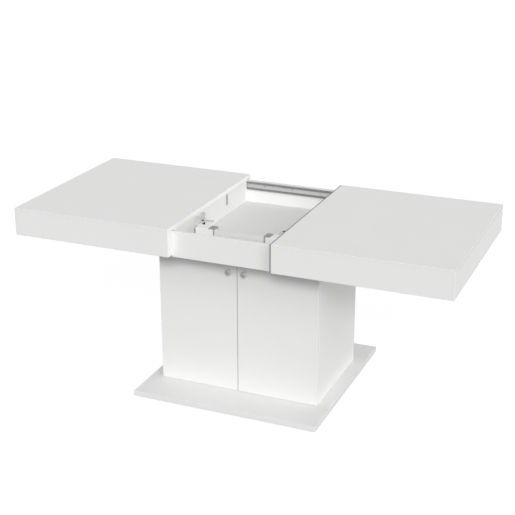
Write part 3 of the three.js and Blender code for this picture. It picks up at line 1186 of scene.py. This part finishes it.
@dataclass
class LeafBox:
    """The open box between the half-tops, with its slide channels and hardware.

    Attributes:
        finishes: The table's materials.
        rail_reach: How far the left cross rail's band reaches towards the floor, in metres.
        channel_sheet: The thickness of a channel's steel, in metres.
        lip: How far from its mouth a channel's lips are darker, as painted shade, in metres.
        screw_pitch: The distance between a channel's screws, in metres.
        flange: How far down from its top a bracket's flange reaches, in metres.
    """

    finishes: Finishes
    rail_reach: float = 1.9 * MM
    channel_sheet: float = 1.5 * MM
    lip: float = 0.5 * MM
    screw_pitch: float = 128 * MM
    flange: float = 1.0 * MM

    def build(self) -> None:
        """Builds every piece of the box."""
        self.boards()
        self.channels()
        for side in Side:
            self.hardware(side)
            self.hardware_screws(side)
            self.swing_catch(side)

    def boards(self) -> None:
        """Builds the walls, the floor and the rails."""
        # box is the darker copy of the white laminate, as painted shade in the well
        face, band, box = self.finishes.face, self.finishes.band, self.finishes.box
        for node in ("front_wall", "back_wall"):
            Board(node, face, band).build()
        down = ((0, 0, -self.rail_reach), (0, 0, 0))
        Board("left_cross_rail", box, band, grow=down).build()
        for node in ("box_floor", "left_box_end", "right_box_end"):
            Board(node, box, band).build()
        Section("right_cross_rail", box, radius=0.9 * MM, segments=3).build()
        Section("inner_rail", box).build()

    def channels(self) -> None:
        """Rounds the two slide channels, darkens their lips as painted shade over a web lightened as painted
        light, and adds the screws in their webs.
        """
        places = []
        for place, into in (("front", 1), ("back", -1)):
            node = f"{place}_slide_channel"
            # painted light: the channel gets the zinc lightened for the shade it lies in
            piece = Section(node, self.finishes.pale_zinc, radius=0.45 * MM).build()
            low, high = extent(node)
            mouth, wall = (high.y, low.y) if into > 0 else (low.y, high.y)

            def on_lip(face: bpy.types.MeshPolygon, at: float = mouth) -> bool:
                """Tells whether a face is on the channel's lips."""
                return abs(face.center.y - at) < self.lip

            # painted shade: the lips' faces get the darker zinc
            two_tone(piece, self.finishes.dark_zinc, on_lip)
            web = wall + into * self.channel_sheet
            count = int((high.x - low.x) / self.screw_pitch)
            for step in range(count):
                along = (step - (count - 1) / 2) * self.screw_pitch
                places.append(((along, web, (low.z + high.z) / 2), (0, into, 0)))
        screws = Screws(self.finishes.screw, head=3.6 * MM, height=0.6 * MM)
        screws.place("channel_screws", "pedestal", places)

    def hardware(self, side: Side) -> None:
        """Builds a block, its bracket and strap, and the plate on the cross rail.

        Args:
            side: The side of the table.
        """
        # painted light: steel is the zinc lightened for the shade that these pieces lie in
        name, steel = side.label, self.finishes.mid_zinc

        def pressed(node: str, kind: str, look: bpy.types.Material, radius: float, segments: int = 2) -> None:
            """Models a block-shaped piece in its node's place."""
            piece = rounded_block(f"{node}_{kind}", *extent(node), radius, segments)
            dress(piece, look)
            stand_for(piece, node)

        pressed(f"{name}_block", "moulding", self.finishes.plastic, 2.0 * MM, 4)
        bracket = Section(f"{name}_tee_bracket", steel).build()
        flange = extent(f"{name}_tee_bracket")[1].z - self.flange
        # the flange's top keeps plain zinc; the rest of the bracket keeps the zinc lightened as painted light
        two_tone(bracket, self.finishes.zinc[Run.ALONG_Y], lambda face: face.center.z > flange)
        pressed(f"{name}_strap", "pressing", steel, 0.6 * MM)
        pressed(f"{name}_strike_plate", "pressing", steel, 0.5 * MM)

    def hardware_screws(self, side: Side) -> None:
        """Adds the screws of the bracket's flange, the plate on the cross rail and the left strap.

        Args:
            side: The side of the table.
        """
        name = side.label
        places = []
        block_low, block_high = extent(f"{name}_block")
        low, high = extent(f"{name}_tee_bracket")
        over_block = (max(low.x, block_low.x) + min(high.x, block_high.x)) / 2
        for share in (0.22, 0.78):
            places.append(((over_block, part_way(low.y, high.y, share), high.z), (0, 0, 1)))
        plate = f"{name}_strike_plate"
        low, high = extent(plate)
        for share in (0.2, 0.8):
            point = (inner_x(plate, side), (low.y + high.y) / 2, part_way(low.z, high.z, share))
            places.append((point, (-side.value, 0, 0)))
        if side is Side.LEFT:
            low, high = extent("left_strap")
            for share in (0.35, 0.75):
                point = (low.x, (low.y + high.y) / 2, part_way(low.z, high.z, share))
                places.append((point, (side.value, 0, 0)))
        screws = Screws(self.finishes.screw, head=2.8 * MM, height=0.9 * MM)
        screws.place(f"{name}_hardware_screws", "pedestal", places)

    def swing_catch(self, side: Side) -> None:
        """Rounds the cross-shaped catch and dresses the post that it turns on.

        Args:
            side: The side of the table.
        """
        # painted light: the catch gets the zinc lightened for shade
        Section(f"{side.label}_catch", self.finishes.pale_zinc).build()
        dress_node(f"{side.label}_catch_post", self.finishes.dark)


@dataclass
class HalfTop:
    """One sliding half of the table top.

    Attributes:
        side: The side of the table.
        finishes: The table's materials.
        glue_line: How far a board reaches to close its joint, in metres.
        cap_sheet: The thickness of a runner cap, in metres.
        cap_play: A runner cap's distance from the walls and from the channels, in metres.
        gusset: How far a corner gusset runs along each board, in metres.
        gusset_height: Its height, in metres.
        gusset_gap: Its distance from the boards, in metres.
        gusset_slope: The share of it that the slanting edge takes off.
        foot_middle: The distance from a runner's outer edge to the middle of its foot, in metres.
        foot_depth: The distance from a runner's top down to its foot's underside, in metres.
        screw_start: The first runner screw's distance from the runner's outer end, in metres.
        screw_pitch: The distance between a runner's screws, in metres.
        screw_room: How far outside the box a runner's screws stay at rest, in metres.
    """

    side: Side
    finishes: Finishes
    glue_line: float = 0.28 * MM
    cap_sheet: float = 1.8 * MM
    cap_play: float = 0.5 * MM
    gusset: float = 46 * MM
    gusset_height: float = 42 * MM
    gusset_gap: float = 0.2 * MM
    gusset_slope: float = 0.85
    foot_middle: float = 12 * MM
    foot_depth: float = 2.2 * MM
    screw_start: float = 20 * MM
    screw_pitch: float = 70 * MM
    screw_room: float = 8 * MM

    @property
    def body(self) -> str:
        """The body that carries this half."""
        return f"{self.side.label}_top"

    def build(self) -> None:
        """Builds every piece of the half-top."""
        name = self.side.label
        face, band = self.finishes.face, self.finishes.band
        outwards, inwards = (self.side.value, 0, 0), (-self.side.value, 0, 0)
        up, down, forwards, level = (0, 0, 1), (0, 0, -1), (0, -1, 0), (0, 0, 0)
        raised = (0, 0, self.glue_line)
        reach_forwards = (0, -self.glue_line, 0)
        for part, joints, grow in (
            ("top_panel", (down,), (level, level)),
            ("front_apron", (up, outwards), (level, raised)),
            ("back_apron", (up, outwards), (level, raised)),
            ("end_apron", (up, inwards), (level, raised)),
            ("front_return", (up, forwards), (reach_forwards, raised)),
        ):
            Board(f"{name}_{part}", face, band, joints=joints, grow=grow).build()
        for place in ("front", "back"):
            Section(f"{name}_{place}_runner", self.finishes.zinc[Run.ALONG_X]).build()
        if self.side is Side.RIGHT:
            Section("right_edge_seal", self.finishes.seal, radius=1.2 * MM, segments=3).build()
        else:
            self.runner_caps()
        self.gussets()
        self.runner_screws()

    def runner_caps(self) -> None:
        """Adds a moulded cap on each runner's inner end, over the slot beside the rail."""
        play = self.cap_play
        room = Vector((play, play, play))
        rail_low, rail_high = extent("left_cross_rail")
        near = rail_high.x + 0.1 * MM
        far = near + self.cap_sheet
        ceiling = extent("left_top_panel")[0].z - 0.2 * MM
        overlap = 1.0 * MM
        caps = []
        for place, wall, rail_end in (
            ("front", extent("front_wall")[1].y, rail_low.y + overlap),
            ("back", extent("back_wall")[0].y, rail_high.y - overlap),
        ):
            first, last = sorted((wall + math.copysign(play, -wall), rail_end))
            cap = block(f"left_{place}_cap", (near, first, rail_low.z), (far, last, ceiling))
            low, high = extent(f"{place}_slide_channel")
            low, high = low - room, high + room
            cut(cap, block("slot", (near - play, low.y, low.z), (far + play, high.y, high.z)))
            round_edges(cap, 0.25 * MM, 2)
            smooth(cap)
            caps.append(cap)
        add_trim(joined("left_runner_caps", caps), self.finishes.plastic, self.body)

    def gussets(self) -> None:
        """Adds a triangular gusset in each outer corner under the panel."""
        name, sign, gap = self.side.label, self.side.value, self.gusset_gap
        top = extent(f"{name}_top_panel")[0].z
        end = inner_x(f"{name}_end_apron", self.side)
        pieces = []
        for wall, turn in ((extent(f"{name}_front_apron")[1].y, 1), (extent(f"{name}_back_apron")[0].y, -1)):
            inner = (end - sign * self.gusset, wall + turn * self.gusset)
            xs = sorted((end - sign * gap, inner[0]))
            ys = sorted((wall + turn * gap, inner[1]))
            piece = block("gusset", (xs[0], ys[0], top - self.gusset_height), (xs[1], ys[1], top - gap))
            pick_edges(piece, lambda start, stop, at=inner: all(
                math.dist(point.xy, at) < TOUCH for point in (start, stop)
            ))
            with editing(piece, "EDGE"):
                bpy.ops.mesh.bevel(offset=self.gusset_slope * self.gusset, segments=1, affect="EDGES")
            round_edges(piece, 0.8 * MM, 2)
            smooth(piece)
            pieces.append(piece)
        add_trim(joined(f"{name}_corner_gussets", pieces), self.finishes.plastic, self.body)

    def runner_screws(self) -> None:
        """Adds the flat-headed screws that hold the runners' feet to the panel, seen from below."""
        name = self.side.label
        places = []
        box_end = extent("front_wall")[1].x
        for place in ("front", "back"):
            low, high = extent(f"{name}_{place}_runner")
            middle = low.y + self.foot_middle if place == "front" else high.y - self.foot_middle
            outer = max(abs(low.x), abs(high.x)) - self.screw_start
            while outer > box_end + self.screw_room:
                places.append(((self.side.value * outer, middle, high.z - self.foot_depth), (0, 0, -1)))
                outer -= self.screw_pitch
        screws = Screws(self.finishes.screw, head=3.4 * MM, height=0.25 * MM)
        screws.place(f"{name}_runner_screws", self.body, places)


# ---------- studio ----------
@dataclass(frozen=True)
class FarLight:
    """A light that is far away, so it falls evenly.

    Attributes:
        name: Its name.
        azimuth: Where it stands, in degrees from the front towards +X.
        elevation: Its height above the horizon, in degrees.
        energy: Its strength.
        spread: How wide it looks, in degrees.
        shadows: Whether pieces cast shadows in it.
    """

    name: str
    azimuth: float
    elevation: float
    energy: float
    spread: float = 1.0
    shadows: bool = True

    def build(self) -> None:
        """Adds the light."""
        lamp = bpy.data.lights.new(self.name, "SUN")
        lamp.energy = self.energy
        lamp.angle = math.radians(self.spread)
        lamp.use_shadow = self.shadows
        holder = bpy.data.objects.new(self.name, lamp)
        bpy.context.scene.collection.objects.link(holder)
        turn, lift = math.radians(self.azimuth), math.radians(self.elevation)
        towards = Vector((math.sin(turn) * math.cos(lift), -math.cos(turn) * math.cos(lift), math.sin(lift)))
        holder.rotation_euler = towards.to_track_quat("Z", "Y").to_euler()


def seen_or_lit(graph: Graph, lit: float, seen: float) -> bpy.types.NodeSocket:
    """Chooses between a surround's brightness as a light and as a backdrop.

    Args:
        graph: The graph to build in.
        lit: Its brightness as a light on the table.
        seen: Its brightness behind the table.

    Returns:
        The chosen colour.
    """
    rays = graph.add("ShaderNodeLightPath")
    return graph.mixed(rays.outputs["Is Camera Ray"], (lit, lit, lit, 1.0), (seen, seen, seen, 1.0))


@dataclass
class Studio:
    """The floor, the light and the camera.

    Attributes:
        stand_point: The camera's place, in metres.
        azimuth: The camera's turn from looking along +Y, in degrees.
        elevation: How far the camera looks down, in degrees.
        roll: The camera's turn about its own axis, in degrees.
        lens: Its focal length on a 36 mm sensor.
        sky: The brightness of the light from all round.
        sky_seen: The brightness of the backdrop.
        floor_glow: The brightness of the floor as a light from below.
        floor_seen: The brightness that the floor adds to the light that falls on it.
        floor_size: The floor's width, in metres.
        sight: How far the camera sees, in metres.
    """

    stand_point: Corner = (1.69414, -4.02634, 2.18552)
    azimuth: float = 22.938
    elevation: float = 20.780
    roll: float = -0.1145
    lens: float = 79.475
    sky: float = 0.5606
    sky_seen: float = 1.0
    floor_glow: float = 0.1915
    floor_seen: float = 0.93
    floor_size: float = 160.0
    sight: float = 200.0

    def build(self) -> None:
        """Builds the floor, the light and the camera."""
        self.floor()
        self.light()
        self.camera()
        bpy.context.scene.view_settings.view_transform = "Standard"

    def floor(self) -> None:
        """Adds a wide pale floor that glows a little, as an over-lit studio floor does."""
        clear_selection()
        bpy.ops.mesh.primitive_grid_add(x_subdivisions=8, y_subdivisions=8, size=self.floor_size)
        piece = bpy.context.object
        piece.name = "studio_floor"
        material, graph, shader, place = blank_material("studio_floor")
        paper = graph.noise(place, 30.0, detail=3.0)
        graph.feed(shader, {
            "Base Color": graph.mixed(paper, (0.105, 0.105, 0.105, 1.0), (0.095, 0.095, 0.095, 1.0)),
            "Emission Color": seen_or_lit(graph, self.floor_glow, self.floor_seen),
            "Emission Strength": 1.0,
            "Roughness": 1.0,
            "Specular IOR Level": 0.0,
        })
        dress(piece, material)

    def light(self) -> None:
        """Sets an even sky, three soft keys at the front and right, and fill lights on all four sides."""
        world = bpy.data.worlds.new("studio")
        world.use_nodes = True
        world.node_tree.nodes.clear()
        graph = Graph(world.node_tree)
        tone = seen_or_lit(graph, self.sky, self.sky_seen)
        sky = graph.add("ShaderNodeBackground", {"Color": tone, "Strength": 1.0})
        graph.add("ShaderNodeOutputWorld", {"Surface": sky.outputs[0]})
        bpy.context.scene.world = world
        for light in (
            FarLight("key", azimuth=20, elevation=30, energy=1.48, spread=14),
            FarLight("low_side_key", azimuth=55, elevation=25, energy=0.4536, spread=14),
            FarLight("high_side_key", azimuth=45, elevation=45, energy=0.3, spread=14),
            FarLight("front_fill", azimuth=0, elevation=0, energy=0.12, shadows=False),
            FarLight("right_fill", azimuth=90, elevation=0, energy=0.89, shadows=False),
            FarLight("left_fill", azimuth=-90, elevation=0, energy=0.45, shadows=False),
            FarLight("back_fill", azimuth=180, elevation=0, energy=0.6, shadows=False),
        ):
            light.build()

    def camera(self) -> None:
        """Adds the camera."""
        camera = bpy.data.cameras.new("camera")
        camera.lens = self.lens
        camera.sensor_width = 36.0
        camera.clip_end = self.sight
        holder = bpy.data.objects.new("camera", camera)
        bpy.context.scene.collection.objects.link(holder)
        turn = Matrix.Rotation(math.radians(self.azimuth), 4, "Z")
        tilt = Matrix.Rotation(math.radians(90 - self.elevation), 4, "X")
        roll = Matrix.Rotation(math.radians(self.roll), 4, "Z")
        holder.matrix_world = Matrix.Translation(Vector(self.stand_point)) @ turn @ tilt @ roll
        bpy.context.scene.camera = holder


def main() -> None:
    """Builds the table and the studio."""
    logging.basicConfig(level=logging.INFO, format="%(name)s: %(message)s")
    finishes = Finishes()
    Base(finishes).build()
    Cabinet(finishes).build()
    LeafBox(finishes).build()
    for side in Side:
        HalfTop(side, finishes).build()
    Studio().build()


if __name__ == "__main__":
    main()
